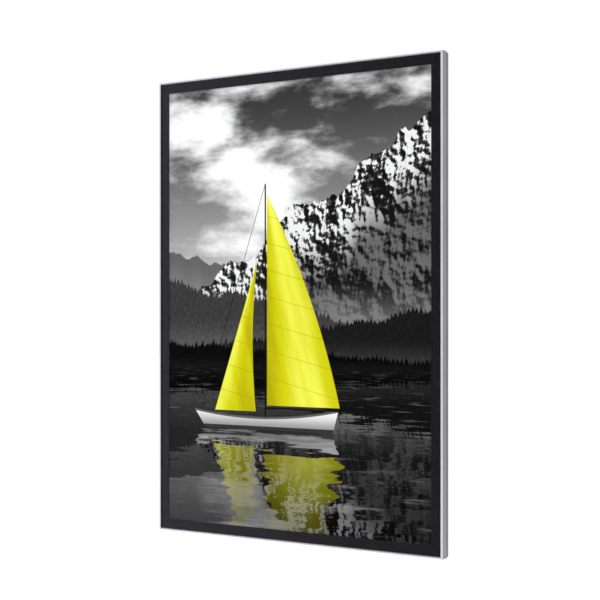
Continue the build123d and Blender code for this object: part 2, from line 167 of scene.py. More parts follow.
class Tree:
    """A tree of nodes that is filled from code."""

    def __init__(self, node_tree):
        self.nodes = node_tree.nodes
        self.links = node_tree.links
        self.nodes.clear()

    def node(self, kind, settings=None, sockets=None, output=0):
        """Adds one node: its settings first, then the values or links of its sockets."""
        made = self.nodes.new(kind)
        for name, value in (settings or {}).items():
            setattr(made, name, value)
        for name, value in (sockets or {}).items():
            if isinstance(value, Shade):
                self.links.new(value.socket, made.inputs[name])
            else:
                made.inputs[name].default_value = value
        return Shade(self, made.outputs[output]) if made.outputs else None

    def vector(self, operation, first, second):
        return self.node("ShaderNodeVectorMath", {"operation": operation}, {0: first, 1: second})

    def coordinate(self, source, axis):
        whole = self.node("ShaderNodeTexCoord", output=source)
        return self.node("ShaderNodeSeparateXYZ", sockets={0: whole}, output=axis)

    def place(self, axis):
        """Where the shaded point is along one axis of the model's own frame."""
        return self.coordinate("Object", axis)

    def facing(self, axis):
        """How far the surface's direction goes along one axis, from -1 to 1."""
        return self.coordinate("Normal", axis)

    def point(self, x, y):
        return self.node("ShaderNodeCombineXYZ", sockets={0: x, 1: y})

    def noise(self, point, detail, roughness=0.5, dimensions="3D"):
        where = "W" if dimensions == "1D" else "Vector"
        sockets = {where: point, "Scale": 1.0, "Detail": detail, "Roughness": roughness}
        return self.node("ShaderNodeTexNoise", {"noise_dimensions": dimensions}, sockets)

    def scaled_place(self, sizes):
        """The shaded point, divided by a length for each axis."""
        return self.vector("DIVIDE", self.node("ShaderNodeTexCoord", output="Object"), sizes)

    def grain(self, size, detail=2.0):
        """An uneven pattern about zero. Its size is one length, or one for each axis."""
        sizes = size if isinstance(size, tuple) else (size, size, size)
        return self.noise(self.scaled_place(sizes), detail) - NOISE_MIDDLE

    def chance(self, value):
        """A number from 0 to 1, the same each time for the same value."""
        return self.node("ShaderNodeTexWhiteNoise", {"noise_dimensions": "1D"}, {"W": value})

    def mix(self, share, first, second):
        """A colour between two colours."""
        sockets = {MIX_SHARE: share, MIX_FIRST: first, MIX_SECOND: second}
        return self.node("ShaderNodeMix", {"data_type": "RGBA"}, sockets, output=MIX_RESULT)

    def scaled(self, colour, factor):
        return self.node("ShaderNodeVectorMath", {"operation": "SCALE"}, {0: colour, "Scale": factor})

    def bump(self, height, depth):
        return self.node("ShaderNodeBump", sockets={"Height": height, "Distance": depth})


class Pattern(NamedTuple):
    """An uneven pattern: its size and detail, and its weights in tone, roughness and relief."""
    size: object
    detail: float = 2.0
    tone: float = 0.0
    roughness: float = 0.0
    relief: float = 0.0


class Finish(Tree):
    """A material. Numbers that are the same all over are set on the shader's own sockets."""

    def __init__(self, name, constants):
        self.material = bpy.data.materials.new(name)
        self.material.use_nodes = True
        super().__init__(self.material.node_tree)
        self.shader = self.nodes.new("ShaderNodeBsdfPrincipled")
        output = self.nodes.new("ShaderNodeOutputMaterial")
        self.links.new(self.shader.outputs[0], output.inputs["Surface"])
        for socket, value in constants.items():
            self.shader.inputs[socket].default_value = value

    def feed(self, **links):
        """Links what changes over the surface: Base_Color=colour, Roughness=value and so on."""
        for name, value in links.items():
            self.links.new(value.socket, self.shader.inputs[name.replace("_", " ")])
        return self.material

    def layer(self, *patterns):
        """The tone, the roughness and the relief that some patterns add up to."""
        sums = {"tone": 0, "roughness": 0, "relief": 0}
        for pattern in patterns:
            grain = self.grain(pattern.size, pattern.detail)
            for use in sums:
                weight = getattr(pattern, use)
                if weight:
                    sums[use] = sums[use] + grain * weight
        return sums.values()

    def flat(self, axis):
        """1 where the surface faces along an axis, one way or the other."""
        return abs(self.facing(axis)).rise(NEARLY_FACING, FACING)

    def cut_edge(self):
        """1 on the cut edges of a sheet that faces the front."""
        return abs(self.facing("Y")).rise(EDGE_ON, FACE_ON, 1, 0)


def over(mask, front, behind):
    return behind + (front - behind) * mask


# Camera and studio

def make_camera():
    camera = bpy.data.objects.new("camera", bpy.data.cameras.new("camera"))
    camera.data.sensor_width = SENSOR_WIDTH
    camera.data.lens = SENSOR_WIDTH * FOCAL_LENGTH_PIXELS / IMAGE_WIDTH
    camera.data.shift_y = VERTICAL_SHIFT_PIXELS / IMAGE_WIDTH
    camera.location = CAMERA_PLACE
    look = Vector((-sin(CAMERA_YAW), cos(CAMERA_YAW), 0))
    camera.rotation_euler = look.to_track_quat("-Z", "Y").to_euler()
    bpy.context.scene.collection.objects.link(camera)
    bpy.context.scene.camera = camera


def seen_directly(tree):
    """1 for rays from the camera, and for those that metal reflects or glass lets through."""
    camera, glossy, transmission = [
        tree.node("ShaderNodeLightPath", output="Is " + kind + " Ray")
        for kind in ("Camera", "Glossy", "Transmission")
    ]
    return camera.at_least(glossy).at_least(transmission)


def make_world():
    world = bpy.data.worlds.new("studio")
    world.use_nodes = True
    bpy.context.scene.world = world
    tree = Tree(world.node_tree)
    strength = AMBIENT_LIGHT + (1 - AMBIENT_LIGHT) * seen_directly(tree)
    background = tree.node("ShaderNodeBackground", sockets={"Color": WHITE, "Strength": strength})
    tree.node("ShaderNodeOutputWorld", sockets={"Surface": background})


def make_sun(name, strength, spread, towards):
    lamp = bpy.data.lights.new(name, "SUN")
    lamp.energy = strength
    lamp.angle = spread
    sun = bpy.data.objects.new(name, lamp)
    sun.rotation_euler = Vector(towards).to_track_quat("-Z", "Y").to_euler()
    bpy.context.scene.collection.objects.link(sun)


def make_plane(name, corners):
    """A plane of the studio, and the tree of its material."""
    material = bpy.data.materials.new(name)
    material.use_nodes = True
    mesh = bpy.data.meshes.new(name)
    mesh.from_pydata(corners, [], [(0, 1, 2, 3)])
    mesh.materials.append(material)
    plane = bpy.data.objects.new(name, mesh)
    bpy.context.scene.collection.objects.link(plane)
    return plane, Tree(material.node_tree)


def make_floor():
    """A pale floor that is white in the view and still shows a shadow. From below it isn't there."""
    ends = ((-1, -1), (1, -1), (1, 1), (-1, 1))
    _, tree = make_plane("floor", [(x * FLOOR_REACH, y * FLOOR_REACH, FLOOR_HEIGHT) for x, y in ends])
    paint = tree.node("ShaderNodeBsdfDiffuse", sockets={"Color": grey(FLOOR_PAINT)})
    glow = tree.node("ShaderNodeEmission", sockets={"Strength": FLOOR_GLOW * seen_directly(tree)})
    lit = tree.node("ShaderNodeAddShader", sockets={0: paint, 1: glow})
    clear = tree.node("ShaderNodeBsdfTransparent")
    below = tree.node("ShaderNodeNewGeometry", output="Backfacing")
    surface = tree.node("ShaderNodeMixShader", sockets={0: below, 1: lit, 2: clear})
    tree.node("ShaderNodeOutputMaterial", sockets={"Surface": surface})


def make_card(name, card):
    (start, end), (low, high) = card["ends"], card["up"]
    plane, tree = make_plane(name, [(*start, low), (*end, low), (*end, high), (*start, high)])
    plane.visible_camera = plane.visible_diffuse = False
    plane.visible_shadow = plane.visible_transmission = False
    level = tree.place(card["axis"]).rise(*card["fade"], *card["levels"])
    light = tree.node("ShaderNodeEmission", sockets={"Color": WHITE, "Strength": level})
    tree.node("ShaderNodeOutputMaterial", sockets={"Surface": light})


def plain_finish(name, constants, patterns, reach, colours, roughness, depth):
    """A finish varied by its patterns. It goes from one colour to the other over the tone's reach."""
    finish = Finish(name, constants)
    tone, uneven, relief = finish.layer(*patterns)
    return finish.feed(
        Base_Color=finish.mix(tone.rise(*reach), *colours),
        Roughness=roughness + uneven,
        Normal=finish.bump(relief, depth),
    )


# Metal

METAL = {"Metallic": 1.0}
ANODISED = ((0.758, 0.748, 0.825, 1), (0.848, 0.838, 0.922, 1))
ANODISED_REACH, ANODISED_ROUGHNESS, ANODISED_DEPTH = 0.05, 0.36, 0.00001
DRAWN_ALONG = {"x": (0.25, 0.0011, 0.0011), "z": (0.0011, 0.0011, 0.25)}
SEAM_WIDTH, SEAM_SHADE, SEAM_RELIEF = 0.00022, grey(0.06), 8
ZINC = ((0.528, 0.5412, 0.5676, 1), (0.6864, 0.6996, 0.7128, 1))
ZINC_REACH, ZINC_ROUGHNESS, ZINC_DEPTH = (-0.3, 0.9), 0.30, 0.00002
# The spangle's weights. Its size is each plate's own.
SPANGLE = Pattern(size=None, tone=0.6, roughness=0.12, relief=0.3)
WORN_TONE = 0.78


def satin_aluminium(name, along):
    """Silver anodised extrusion: faint lines along it, fine grain and a hairline seam at each mitre."""
    finish = Finish(name, METAL)
    tone, uneven, relief = finish.layer(
        Pattern(size=DRAWN_ALONG[along], detail=3, tone=0.05, roughness=0.1, relief=0.4),
        Pattern(size=0.00045, detail=1, tone=0.04, relief=0.5),
        Pattern(size=0.11, detail=3, tone=0.03, roughness=0.08),
    )
    from_side = cad_box[1].x - abs(finish.place("X"))
    from_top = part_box("rail_top")[1].z - abs(finish.place("Z"))
    seam = abs(from_side - from_top).rise(SEAM_WIDTH / 4, SEAM_WIDTH, 1, 0)
    metal = finish.mix(tone.spread(ANODISED_REACH), *ANODISED)
    return finish.feed(
        Base_Color=finish.mix(seam, metal, SEAM_SHADE),
        Roughness=ANODISED_ROUGHNESS + uneven,
        Normal=finish.bump(relief - seam * SEAM_RELIEF, ANODISED_DEPTH),
    )


def zinc_plate(name, crystal):
    """Zinc plating on pressed steel: a faint spangle of crystals, each with its own shine."""
    finish = Finish(name, METAL)
    where = finish.scaled_place((crystal, crystal, crystal))
    cell = finish.node("ShaderNodeTexVoronoi", sockets={"Vector": where, "Scale": 1.0}, output="Color")
    spangle = finish.node("ShaderNodeSeparateXYZ", sockets={0: cell})
    tone, uneven, relief = finish.layer(
        Pattern(size=0.012, detail=4, tone=1.6, roughness=0.25),
        Pattern(size=0.0003, tone=0.4, relief=1),
    )
    return finish.feed(
        Base_Color=finish.mix((tone + spangle * SPANGLE.tone).rise(*ZINC_REACH), *ZINC),
        Roughness=ZINC_ROUGHNESS + uneven + spangle * SPANGLE.roughness,
        Normal=finish.bump(relief + spangle * SPANGLE.relief, ZINC_DEPTH),
    )


def bright_metal(name, colour, roughness, mark=0.0004):
    """Plated or drawn metal: fine marks, and duller patches from handling."""
    marks = Pattern(size=mark, detail=3, tone=1, roughness=0.1, relief=1)
    handling = Pattern(size=0.006, detail=3, tone=1.5, roughness=0.2)
    worn = [level * WORN_TONE for level in colour]
    return plain_finish(
        name, METAL, (marks, handling), reach=(-0.4, 0.4), colours=((*worn, 1), (*colour, 1)),
        roughness=roughness, depth=0.00002,
    )


# Plastic, rubber and board

PALER, PALER_BY = 1.18, 0.004
DUSTY, DUSTY_BY = 1.7, 0.006
BOARD_FACING = ((0.80, 0.80, 0.785, 1), (0.745, 0.74, 0.72, 1))
BOARD_CORE = ((0.11, 0.055, 0.026, 1), (0.27, 0.16, 0.085, 1))
SCUFFED = (-0.1, 0.25)
FIBRE_REACH = 0.2
# The board's roughness on its facing, what scuffs add there, and its roughness on the cut edges
FACING_ROUGHNESS, SCUFF_ROUGHNESS, CORE_ROUGHNESS = 0.48, 0.25, 0.85
PEEL_RELIEF, BOARD_DEPTH = 0.35, 0.00012


def moulded_plastic(name, colour, roughness):
    """Moulded plastic with a fine spark-eroded texture."""
    texture = Pattern(size=0.00035, detail=3, tone=0.6, roughness=0.15, relief=1)
    cloud = Pattern(size=0.007, detail=3, tone=1, roughness=0.1)
    paler = [level * PALER + PALER_BY for level in colour]
    return plain_finish(
        name, {"Specular IOR Level": 0.4}, (texture, cloud), reach=(-0.3, 0.3),
        colours=((*colour, 1), (*paler, 1)), roughness=roughness, depth=0.00005,
    )


def rubber(name, colour, pore, depth):
    """Rubber or closed foam with pores of the given size."""
    pores = Pattern(size=pore, tone=0.5, roughness=0.15, relief=1)
    dust = Pattern(size=0.02, detail=4, tone=1.2)
    dusty = [level * DUSTY + DUSTY_BY for level in colour]
    return plain_finish(
        name, {"Specular IOR Level": 0.25}, (pores, dust), reach=(-0.25, 0.45),
        colours=((*colour, 1), (*dusty, 1)), roughness=0.82, depth=depth,
    )


def faced_board():
    """Hardboard with a white facing that has a faint orange-peel. Its cut edges show brown fibre."""
    finish = Finish("panel_board", {"Specular IOR Level": 0.3})
    face = finish.flat("Y")
    peel = finish.grain(size=0.0016)
    scuffs = finish.grain(size=(0.05, 0.02, 0.006), detail=4)
    fibre = finish.grain(size=(0.0018, 0.0003, 0.0018), detail=4)
    facing = finish.mix(scuffs.rise(*SCUFFED), *BOARD_FACING)
    core = finish.mix(fibre.spread(FIBRE_REACH), *BOARD_CORE)
    return finish.feed(
        Base_Color=finish.mix(face, core, facing),
        Roughness=over(face, FACING_ROUGHNESS + scuffs * SCUFF_ROUGHNESS, CORE_ROUGHNESS),
        Normal=finish.bump(over(face, peel * PEEL_RELIEF, fibre), BOARD_DEPTH),
    )


# Light stack

# The dots' pitch, and their radius next to the lit edges and in the middle, as a share of the pitch
DOT_PITCH, DOT_NEAR, DOT_FAR = 0.0022, 0.14, 0.40
DOT_BLUR = 0.01
DOT_PAINT, GUIDE_TINT = grey(0.93), (0.86, 0.95, 0.94, 1)
# The guide's alpha, and what the dots and the cut edges add to it
GUIDE_ALPHA, DOT_ALPHA, GUIDE_EDGE_ALPHA = 0.22, 0.75, 0.45
SAW_DEPTH = 0.00004
OPAL, OPAL_REACH = (grey(0.52), grey(0.56)), 0.3
# The opal sheet's roughness, what its matt grain adds to it, and the grain's depth
OPAL_ROUGHNESS, MATT_ROUGHNESS, MATT_DEPTH = 0.5, 0.15, 0.00003
GLOW, GLOW_REACH = ((0.93, 0.935, 0.95, 1), WHITE), 0.14
GLOW_CLOUD = 0.06
NEAR_LAMPS_FROM, NEAR_LAMPS_GAIN = 0.20, 0.10


def reflector_film():
    """White film with a faint sheen and slow ripples."""
    ripple = Pattern(size=0.14, tone=1, relief=1)
    grain = Pattern(size=0.0006, tone=0.3, roughness=0.1, relief=0.02)
    return plain_finish(
        "reflector_film", {"Specular IOR Level": 0.4}, (ripple, grain), reach=(-0.3, 0.3),
        colours=((0.86, 0.86, 0.865, 1), (0.92, 0.92, 0.92, 1)), roughness=0.38, depth=0.0008,
    )


def dotted_guide():
    """Clear acrylic with white dots printed on its rear face. They grow away from the lit edges."""
    finish = Finish("guide_acrylic", {"Roughness": 0.08})
    x, z = finish.place("X"), finish.place("Z")
    half_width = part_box("light_guide")[1].x
    across, up = (x / DOT_PITCH).off_middle(), (z / DOT_PITCH).off_middle()
    radius = (half_width - abs(x)).rise(0, half_width, DOT_NEAR, DOT_FAR)
    rear = finish.facing("Y").rise(NEARLY_FACING, FACING)
    dots = rear * (radius * radius - across * across - up * up).spread(DOT_BLUR)
    cut = finish.cut_edge()
    saw = finish.grain(size=(0.0006, 0.02, 0.0006), detail=3)
    return finish.feed(
        Base_Color=finish.mix(dots, GUIDE_TINT, DOT_PAINT),
        Alpha=GUIDE_ALPHA + dots * DOT_ALPHA + cut * GUIDE_EDGE_ALPHA,
        Normal=finish.bump(saw * cut, SAW_DEPTH),
    )


def opal_diffuser():
    """Opal sheet, lit from behind, and a little brighter near the rows of LEDs."""
    finish = Finish("diffuser_plastic", {"Specular IOR Level": 0.35, "Emission Strength": 0.42})
    matt, cloud = finish.grain(size=0.0005), finish.grain(size=0.2, detail=3)
    half_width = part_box("diffuser_sheet")[1].x
    near_lamps = abs(finish.place("X")).rise(NEAR_LAMPS_FROM, half_width, 0.0, NEAR_LAMPS_GAIN)
    return finish.feed(
        Base_Color=finish.mix(cloud.spread(OPAL_REACH), *OPAL),
        Emission_Color=finish.mix((near_lamps + cloud * GLOW_CLOUD).rise(0, GLOW_REACH), *GLOW),
        Roughness=OPAL_ROUGHNESS + matt * MATT_ROUGHNESS,
        Normal=finish.bump(matt, MATT_DEPTH),
    )


# LEDs

TRACK_OFFSET, TRACK_WIDTH, TRACK_SHARE = 0.0018, 0.0004, 0.5
TRACK_TINT = (0.80, 0.76, 0.66, 1)
COATING, COATING_REACH = ((0.84, 0.84, 0.80, 1), (0.90, 0.90, 0.88, 1)), 0.3
COATING_ROUGHNESS, COATING_DEPTH = 0.34, 0.00006
CHIP_PITCH = 0.016
CHIP_LENGTH, CHIP_WIDTH = 0.0035, 0.0028
# A chip's rim, and how many rims from its edge the phosphor starts to fade
CHIP_RIM, FADE_RIMS = 0.0004, 1.2
CHIP_CASE = (grey(0.80), grey(0.88))
PHOSPHOR = ((0.80, 0.56, 0.06, 1), (0.93, 0.72, 0.14, 1))
CHIP_GLOW = (grey(0.02), (0.55, 0.53, 0.42, 1))
POWDER_REACH = 0.3
# A chip's roughness, and what the phosphor adds to it
CHIP_ROUGHNESS, PHOSPHOR_ROUGHNESS = 0.3, 0.2


def middle_of(node):
    """Halfway through a piece, from front to rear."""
    low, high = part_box(node)
    return (low.y + high.y) / 2


def lamp_board():
    """A white board with copper tracks that show as faint ridges under its coating."""
    finish = Finish("board_white", {"Specular IOR Level": 0.5})
    from_middle = abs(finish.place("Y") - middle_of("led_board_left"))
    tracks = abs(from_middle - TRACK_OFFSET).rise(TRACK_WIDTH / 2, TRACK_WIDTH, 1, 0)
    tone, uneven, relief = finish.layer(
        Pattern(size=0.015, detail=3, tone=1),
        Pattern(size=0.0004, tone=0.5, roughness=0.15, relief=0.1),
    )
    coating = finish.mix(tone.spread(COATING_REACH), *COATING)
    return finish.feed(
        Base_Color=finish.mix(tracks * TRACK_SHARE, coating, TRACK_TINT),
        Roughness=COATING_ROUGHNESS + uneven,
        Normal=finish.bump(tracks + relief, COATING_DEPTH),
    )


def within_rim(distance, size):
    """1 inside the rim of a chip, at a distance from the middle of its length or width."""
    return distance.rise(size / 2 - CHIP_RIM * FADE_RIMS, size / 2 - CHIP_RIM, 1, 0)


def lamp_chip():
    """A white LED: a pale case round a square of yellow phosphor."""
    finish = Finish("chip_phosphor", {"Specular IOR Level": 0.5, "Emission Strength": 0.6})
    step = (finish.place("Z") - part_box("led_chips_left")[0].z) / CHIP_PITCH
    along = abs((step - step.floor()) * CHIP_PITCH - CHIP_LENGTH / 2)
    across = abs(finish.place("Y") - middle_of("led_chips_left"))
    window = within_rim(along, CHIP_LENGTH) * within_rim(across, CHIP_WIDTH) * finish.flat("X")
    powder = finish.grain(size=0.0002, detail=3).spread(POWDER_REACH)
    return finish.feed(
        Base_Color=finish.mix(window, finish.mix(powder, *CHIP_CASE), finish.mix(powder, *PHOSPHOR)),
        Emission_Color=finish.mix(window, *CHIP_GLOW),
        Roughness=CHIP_ROUGHNESS + window * PHOSPHOR_ROUGHNESS,
    )


# Cover

COVER_REFLECTION = 1.08
# The cut edges' dark colour is partly the ink behind them and partly painted shade that darkens the gap
# at the lips
COVER_TINT, COVER_EDGE_INK_AND_SHADE = (0.95, 0.95, 1.0, 1), (0.045, 0.047, 0.052, 1)
COVER_EDGE_ALPHA = 0.85
# The cover's roughness, and what haze and the cut edges add to it
COVER_ROUGHNESS, HAZE_ROUGHNESS, COVER_EDGE_ROUGHNESS = 0.16, 0.04, 0.3
INK, INK_REACH, INK_ROUGHNESS = ((0.0040, 0.0040, 0.0046, 1), (0.0062, 0.0062, 0.0070, 1)), 0.3, 0.20
INK_SHEEN = {"Specular IOR Level": 0.46, "Specular Tint": (0.88, 0.85, 1.0, 1)}


def clear_acrylic():
    """A clear sheet with a soft anti-glare face. Its cut edges are painted dark: partly the ink behind
    them, partly painted shade for the gap between the cover and the lips.
    """
    finish = Finish("cover_acrylic", METAL)
    cut = finish.cut_edge()
    haze, saw = finish.grain(size=0.09, detail=3), finish.grain(size=(0.0005, 0.02, 0.0005), detail=3)
    gloss = finish.node("ShaderNodeFresnel", sockets={"IOR": COVER_REFLECTION})
    return finish.feed(
        # Painted shade on the cut edges, together with the ink seen behind them
        Base_Color=finish.mix(cut, COVER_TINT, COVER_EDGE_INK_AND_SHADE),
        Alpha=over(cut, COVER_EDGE_ALPHA, gloss),
        Roughness=COVER_ROUGHNESS + haze * HAZE_ROUGHNESS + cut * COVER_EDGE_ROUGHNESS,
        Normal=finish.bump(saw * cut, SAW_DEPTH),
    )


def border_ink():
    """Black ink on the back of the cover, with the gloss of the sheet in front of it."""
    finish = Finish("border_print", INK_SHEEN)
    tone, uneven, _ = finish.layer(
        Pattern(size=0.0003, tone=0.5, roughness=0.05),
        Pattern(size=0.03, detail=3, tone=1, roughness=0.05),
    )
    return finish.feed(
        Base_Color=finish.mix(tone.spread(INK_REACH), *INK), Roughness=INK_ROUGHNESS + uneven
    )


# The picture on the poster: a lake in black and white, and a boat under yellow sails. Lengths are in
# metres on the sheet. The hills' heights are above the far shore, the boat's from its mast's foot.

class Texture(NamedTuple):
    """Noise over the print: its scale across and up, and the amount and the roughness of its detail."""
    across: float
    up: float
    detail: float
    roughness: float

    def drawn(self, picture, x, y, shift=(0, 0)):
        point = picture.point(x * self.across + shift[0], y * self.up + shift[1])
        return picture.noise(point, self.detail, self.roughness, "2D")


class Skyline(NamedTuple):
    """A wavy line across the print, with its height in the middle and its slope."""
    height: float
    seed: float
    swing: float
    slope: float = 0.0
    pitch: float = 0.12
    detail: float = 4.0
    roughness: float = 0.5

    def drawn(self, picture, x):
        wave = picture.noise(x / self.pitch + self.seed, self.detail, self.roughness, "1D")
        return self.height + x * self.slope + (wave - NOISE_MIDDLE) * (2 * self.swing)


class Ridge(NamedTuple):
    """A wooded ridge: its outline, its tone at the top and the mist at its foot."""
    outline: Skyline
    tone: float
    mist: float


MATT_PAPER = {"Roughness": 0.5, "Specular IOR Level": 0.0, "Emission Strength": 1.0}
PAPER_BASE, PAPER_GLOW, PAPER_BACK = 0.70, 0.32, grey(0.80)
PRINT_CONTRAST = 1.25
SPECKLE = Texture(across=1500, up=1500, detail=1, roughness=0.5)
SPECKLE_LOW, SPECKLE_RANGE = 0.86, 0.28
EDGE_BLUR = 0.0005
# What a divisor gets added so that it isn't zero
HAIR = 0.001

# Sky and far range
CLOUDS = Texture(across=3.2, up=7.5, detail=7, roughness=0.58)
CLOUD_THIN, CLOUD_THICK, CLOUD_TONE = 0.41, 0.64, 1.0
SKY_LOW, SKY_HIGH = 0.05, 0.53
SKY_PALE, SKY_DARK = 0.66, 0.08
FAR_RANGE = Skyline(height=0.205, seed=3.1, swing=0.075, pitch=0.19, detail=6)
FAR_TONE, FAR_HAZE_TONE = 0.20, 0.55
FAR_HAZE, FAR_HAZE_DROP = 0.75, 0.14

# Massif
ROCK = Texture(across=11, up=9, detail=11, roughness=0.62)
TOWARDS_LIGHT = (0.05, 0.045)
MASSIF = Skyline(height=0.275, seed=7.7, swing=0.075, slope=0.62, pitch=0.17, detail=8, roughness=0.55)
# Snow lies where the rock leans towards the light. It thins and ends at these drops below the top.
SNOW_TONE, SNOW_LEAN = 0.92, 0.018
SNOW_THINS, SNOW_ENDS = 0.05, 0.16
STONE_LEAN, STONE_TONES = (-0.045, 0.05), (0.010, 0.22)
MASSIF_HAZE_TONE, MASSIF_HAZE_HEIGHTS, MASSIF_HAZE = 0.40, (0.02, 0.17), (0.85, 0.02)

# Ridges in front of the massif, far to near
RIDGES = (
    Ridge(Skyline(height=0.105, seed=1.3, swing=0.030, slope=-0.20), tone=0.085, mist=0.20),
    Ridge(Skyline(height=0.060, seed=5.6, swing=0.022, slope=0.14), tone=0.026, mist=0.085),
    Ridge(Skyline(height=0.026, seed=9.2, swing=0.012, slope=-0.05), tone=0.006, mist=0.018),
)
WOODS = Texture(across=160, up=110, detail=3, roughness=0.6)
WOODS_LOW, WOODS_RANGE = 0.55, 0.9
# Two rows of trees: the width and the greatest height of one tree. The short row's seed is a multiple of
# the tall row's, and the lowest tree's height is a share of the highest's.
TALL_PINES, SHORT_PINES, SHORT_PINES_SEED = (0.0085, 0.016), (0.0052, 0.013), 3
LOWEST_PINE = 0.35

# Boat
MAST_ACROSS, WATERLINE = -0.062, -0.232
MAST_TOP, MAST_HALF_WIDTH = 0.46, 0.0016
STAY_HALF_WIDTH, STAY_FOOT, STAY_REACH = 0.0006, 0.03, 0.98
BOW, STERN = -0.165, 0.150
BOW_HEIGHT, BOW_RAKE, STERN_RAKE = 0.032, 0.75, 0.3
SHEER_LOW, SHEER_LOW_AHEAD, SHEER_CURVE = 0.024, 0.02, 0.55
HULL_HEIGHTS, HULL_TONES = (0.006, 0.034), (0.36, 0.90)
BOOT_TOP, BOOT_TONE = 0.0065, 0.04
GUNWALE, GUNWALE_TONE = 0.004, 0.12
SPAR_TONE = grey(0.007)
SAIL_FOOT = 0.046
BOOM_DROP, BOOM_END = 0.005, 0.006
MAINSAIL_FOOT_LENGTH, MAINSAIL_RISE = 0.165, 0.40
MAINSAIL_LUFF, MAINSAIL_ROACH = 0.004, 0.42
MAINSAIL_BELLY, MAINSAIL_LIGHT = (0.0, 0.55), (0.15, 0.9)
MAINSAIL_LEECH, LEECH_SHADE = (0.72, 1.0), 0.35
JIB_FOOT_LENGTH, JIB_RISE, JIB_DROP = 0.118, 0.335, 0.012
JIB_TOP_GAP, JIB_FOOT_GAP, JIB_HOLLOW = 0.010, 0.012, 0.05
JIB_BELLY, JIB_LIGHT = (0.0, 0.7), (0.95, 0.25)

# Sailcloth
YELLOW_SHADE = (0.46, 0.40, 0.004, 1)
YELLOW_CLOTH = (0.68, 0.66, 0.006, 1)
YELLOW_SUN = (0.92, 0.93, 0.10, 1)
YELLOW_SEAM = (0.30, 0.25, 0.003, 1)
CLOTH_LIT, CLOTH_SUNLIT = (0.0, 0.55), (0.5, 1.05)
PANEL_HEIGHT, PANEL_SLOPE = 0.050, 0.24
PANEL_SEAM, PANEL_SEAM_SHARE = (0.484, 0.492), 0.45
FOLDS_ACROSS, FOLDS_LEAN, FOLDS_UP = 26, 7, 4
FOLD_DETAIL, FOLD_SHADE = 3, 0.65

# Water. The mirror image sways with the ripples, and they get smaller and calmer towards the shore.
SHORE_HEIGHT = -0.118
RIPPLE_ROWS, RIPPLE_ROW_START = 12, 0.012
RIPPLE_LENGTH, RIPPLE_LENGTH_START = 1.6, 0.06
RIPPLE_DETAIL, RIPPLE_ROUGHNESS = 4, 0.6
CALM_DEPTH, CALM = 0.05, 0.25
HILLS_SWAY_ACROSS, HILLS_SWAY_UP = 0.02, 0.075
MIRROR_DEPTH, MIRROR_TONES = 0.30, (0.62, 0.20)
GLINT, GLINT_TONE = (0.07, 0.30), 0.11
BOAT_SWAY_DEPTH, BOAT_SWAY_ACROSS, BOAT_SWAY_UP = 0.10, (0.02, 0.085), 0.05
BOAT_DIMMED, DEEP_WATER = 0.50, grey(0.010)
BOAT_FADE_DEPTHS, BOAT_FADE = (0.02, 0.19), (0.25, 0.85)


def inside(value):
    """1 where value is above zero, with a soft edge."""
    return value.spread(EDGE_BLUR)


def pines(picture, x, seed, row):
    """The tops of a row of pointed trees, each with its own height."""
    pitch, tallest = row
    place = x / pitch + seed
    number = place.floor()
    slope = 1 - abs((place - number) * 2 - 1)
    return slope * (LOWEST_PINE + (1 - LOWEST_PINE) * picture.chance(number)) * tallest


def clouded_sky(picture, x, height):
    clouds = CLOUDS.drawn(picture, x, height).rise(CLOUD_THIN, CLOUD_THICK)
    level = over(clouds, CLOUD_TONE, height.rise(SKY_LOW, SKY_HIGH, SKY_PALE, SKY_DARK))
    far = FAR_RANGE.drawn(picture, x)
    haze = (far - height).rise(0, FAR_HAZE_DROP, 0, FAR_HAZE)
    return over(inside(far - height), over(haze, FAR_HAZE_TONE, FAR_TONE), level)


def snowy_massif(picture, x, height, behind):
    """A mountain that fills the right side, its rock lit from the left."""
    lean = ROCK.drawn(picture, x, height) - ROCK.drawn(picture, x, height, TOWARDS_LIGHT)
    top = MASSIF.drawn(picture, x)
    snow = lean.rise(0.0, SNOW_LEAN) * (top - height).rise(SNOW_THINS, SNOW_ENDS, 1, 0)
    haze = height.rise(*MASSIF_HAZE_HEIGHTS, *MASSIF_HAZE)
    stone = over(snow, SNOW_TONE, lean.rise(*STONE_LEAN, *STONE_TONES))
    return over(inside(top - height), over(haze, MASSIF_HAZE_TONE, stone), behind)


def wooded_ridge(picture, x, height, behind, ridge):
    outline = ridge.outline
    trees = pines(picture, x, outline.seed, TALL_PINES)
    trees = trees.at_least(pines(picture, x, outline.seed * SHORT_PINES_SEED, SHORT_PINES))
    top = outline.drawn(picture, x) + trees
    bank = height.rise(0, outline.height, ridge.mist, ridge.tone)
    bank = bank * (WOODS_LOW + WOODS_RANGE * WOODS.drawn(picture, x, height))
    return over(inside(top - height), bank, behind)


def mountains(picture, x, height):
    """Grey levels of the sky and the hills at a height above the far shore."""
    level = snowy_massif(picture, x, height, clouded_sky(picture, x, height))
    for ridge in RIDGES:
        level = wooded_ridge(picture, x, height, level, ridge)
    return level.power(PRINT_CONTRAST)


def mainsail(across, up):
    """The big sail behind the mast: its mask, and how the light falls on it."""
    share = (up - SAIL_FOOT) / MAINSAIL_RISE
    width = (1 - share) * (1 + MAINSAIL_ROACH * share) * MAINSAIL_FOOT_LENGTH
    mask = inside(across - MAINSAIL_LUFF) * inside(width - across)
    mask = mask * inside(up - SAIL_FOOT) * inside(1 - share)
    belly = across / (width + HAIR)
    light = belly.rise(*MAINSAIL_BELLY, *MAINSAIL_LIGHT)
    return mask, light - belly.rise(*MAINSAIL_LEECH) * LEECH_SHADE


def jib(across, up):
    """The small sail in front of the mast: its mask, and how the light falls on it."""
    rise = up - SAIL_FOOT + JIB_DROP
    share = rise / JIB_RISE
    luff = (share - 1) * JIB_FOOT_LENGTH
    leech = (1 - share) * -JIB_FOOT_GAP - JIB_TOP_GAP - (1 - share) * share * JIB_HOLLOW
    mask = inside(across - luff) * inside(leech - across) * inside(rise) * inside(1 - share)
    return mask, ((across - luff) / (leech - luff + HAIR)).rise(*JIB_BELLY, *JIB_LIGHT)


